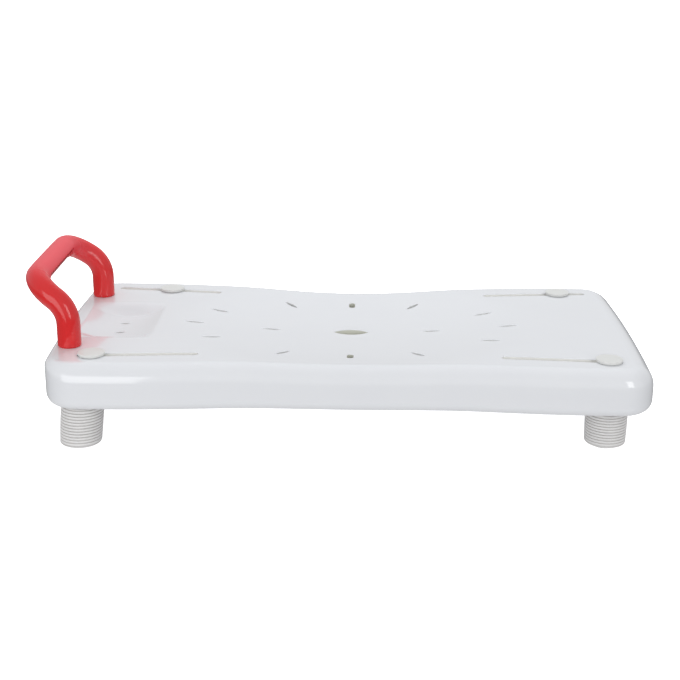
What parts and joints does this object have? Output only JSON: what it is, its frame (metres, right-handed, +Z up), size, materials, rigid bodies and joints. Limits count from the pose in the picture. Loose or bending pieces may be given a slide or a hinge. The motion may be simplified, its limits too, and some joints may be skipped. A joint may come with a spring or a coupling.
{
  "type": "bath board",
  "caption": "Hollow moulded seat board laid across a bath, with a bent grab handle, a soap recess, drain holes, and ribbed eccentric feet that slide in slots to grip the bath's inner sides.",
  "frame": {"origin": "on the floor plane under the feet, at the centre of the overall box", "axes": "+X along the board away from the handle end, +Y across the board to the back, +Z up"},
  "size_m": [0.7199, 0.35, 0.1906],
  "materials": {
    "white_plastic": "smooth, slightly shiny blow-moulded polyethylene",
    "red_plastic": "shiny polypropylene",
    "soft_red_plastic": "satin soft plastic",
    "ivory_plastic": "smooth nylon",
    "grey_plastic": "plain polypropylene",
    "grey_rubber": "matt thermoplastic rubber",
    "white_washer": "plain acetal",
    "steel": "bright stainless steel"
  },
  "bodies": {
    "board": {"board": "white_plastic", "handle": "red_plastic", "handle_grip": "soft_red_plastic", "handle_screw_front": "steel", "handle_screw_back": "steel", "handle_washer_front": "grey_rubber", "handle_washer_back": "grey_rubber", "vent_plug": "grey_plastic"},
    "leg_front_left": {"button_front_left": "ivory_plastic", "stud_front_left": "steel"},
    "washer_front_left": {"thrust_washer_front_left": "white_washer"},
    "foot_front_left": {"foot_core_front_left": "grey_plastic", "foot_sleeve_front_left": "grey_rubber", "foot_nut_front_left": "steel"},
    "leg_front_right": {"button_front_right": "ivory_plastic", "stud_front_right": "steel"},
    "washer_front_right": {"thrust_washer_front_right": "white_washer"},
    "foot_front_right": {"foot_core_front_right": "grey_plastic", "foot_sleeve_front_right": "grey_rubber", "foot_nut_front_right": "steel"},
    "leg_back_left": {"button_back_left": "ivory_plastic", "stud_back_left": "steel"},
    "washer_back_left": {"thrust_washer_back_left": "white_washer"},
    "foot_back_left": {"foot_core_back_left": "grey_plastic", "foot_sleeve_back_left": "grey_rubber", "foot_nut_back_left": "steel"},
    "leg_back_right": {"button_back_right": "ivory_plastic", "stud_back_right": "steel"},
    "washer_back_right": {"thrust_washer_back_right": "white_washer"},
    "foot_back_right": {"foot_core_back_right": "grey_plastic", "foot_sleeve_back_right": "grey_rubber", "foot_nut_back_right": "steel"}
  },
  "joints": [
    {"name": "slide_front_left", "type": "slide", "parent": "board", "child": "leg_front_left", "axis": [-0.9958, -0.0914, 0], "range_m": [-0.1108, 0.0078]},
    {"name": "drop_front_left", "type": "slide", "parent": "leg_front_left", "child": "washer_front_left", "axis": [0, 0, -1], "range_m": [0, 0.0017]},
    {"name": "turn_front_left", "type": "hinge", "parent": "washer_front_left", "child": "foot_front_left", "pos_m": [-0.2753, -0.13346, 0.022], "axis": [0, 0, -1], "range_deg": [0, 720]},
    {"name": "slide_front_right", "type": "slide", "parent": "board", "child": "leg_front_right", "axis": [0.9958, -0.0914, 0], "range_m": [-0.112, 0.0066]},
    {"name": "drop_front_right", "type": "slide", "parent": "leg_front_right", "child": "washer_front_right", "axis": [0, 0, -1], "range_m": [0, 0.0017]},
    {"name": "turn_front_right", "type": "hinge", "parent": "washer_front_right", "child": "foot_front_right", "pos_m": [0.3065, -0.13357, 0.022], "axis": [0, 0, -1], "range_deg": [0, 720]},
    {"name": "slide_back_left", "type": "slide", "parent": "board", "child": "leg_back_left", "axis": [-0.9958, 0.0914, 0], "range_m": [-0.0568, 0.0618]},
    {"name": "drop_back_left", "type": "slide", "parent": "leg_back_left", "child": "washer_back_left", "axis": [0, 0, -1], "range_m": [0, 0.0017]},
    {"name": "turn_back_left", "type": "hinge", "parent": "washer_back_left", "child": "foot_back_left", "pos_m": [-0.2215, 0.12852, 0.022], "axis": [0, 0, -1], "range_deg": [0, 720]},
    {"name": "slide_back_right", "type": "slide", "parent": "board", "child": "leg_back_right", "axis": [0.9958, 0.0914, 0], "range_m": [-0.0899, 0.0287]},
    {"name": "drop_back_right", "type": "slide", "parent": "leg_back_right", "child": "washer_back_right", "axis": [0, 0, -1], "range_m": [0, 0.0017]},
    {"name": "turn_back_right", "type": "hinge", "parent": "washer_back_right", "child": "foot_back_right", "pos_m": [0.2845, 0.13155, 0.022], "axis": [0, 0, -1], "range_deg": [0, 720]}
  ],
  "couplings": [
    {"joint": "drop_front_left", "follows": "turn_front_left", "m_per_rad": 0.00012732},
    {"joint": "drop_front_right", "follows": "turn_front_right", "m_per_rad": 0.00012732},
    {"joint": "drop_back_left", "follows": "turn_back_left", "m_per_rad": 0.00012732},
    {"joint": "drop_back_right", "follows": "turn_back_right", "m_per_rad": 0.00012732}
  ]
}
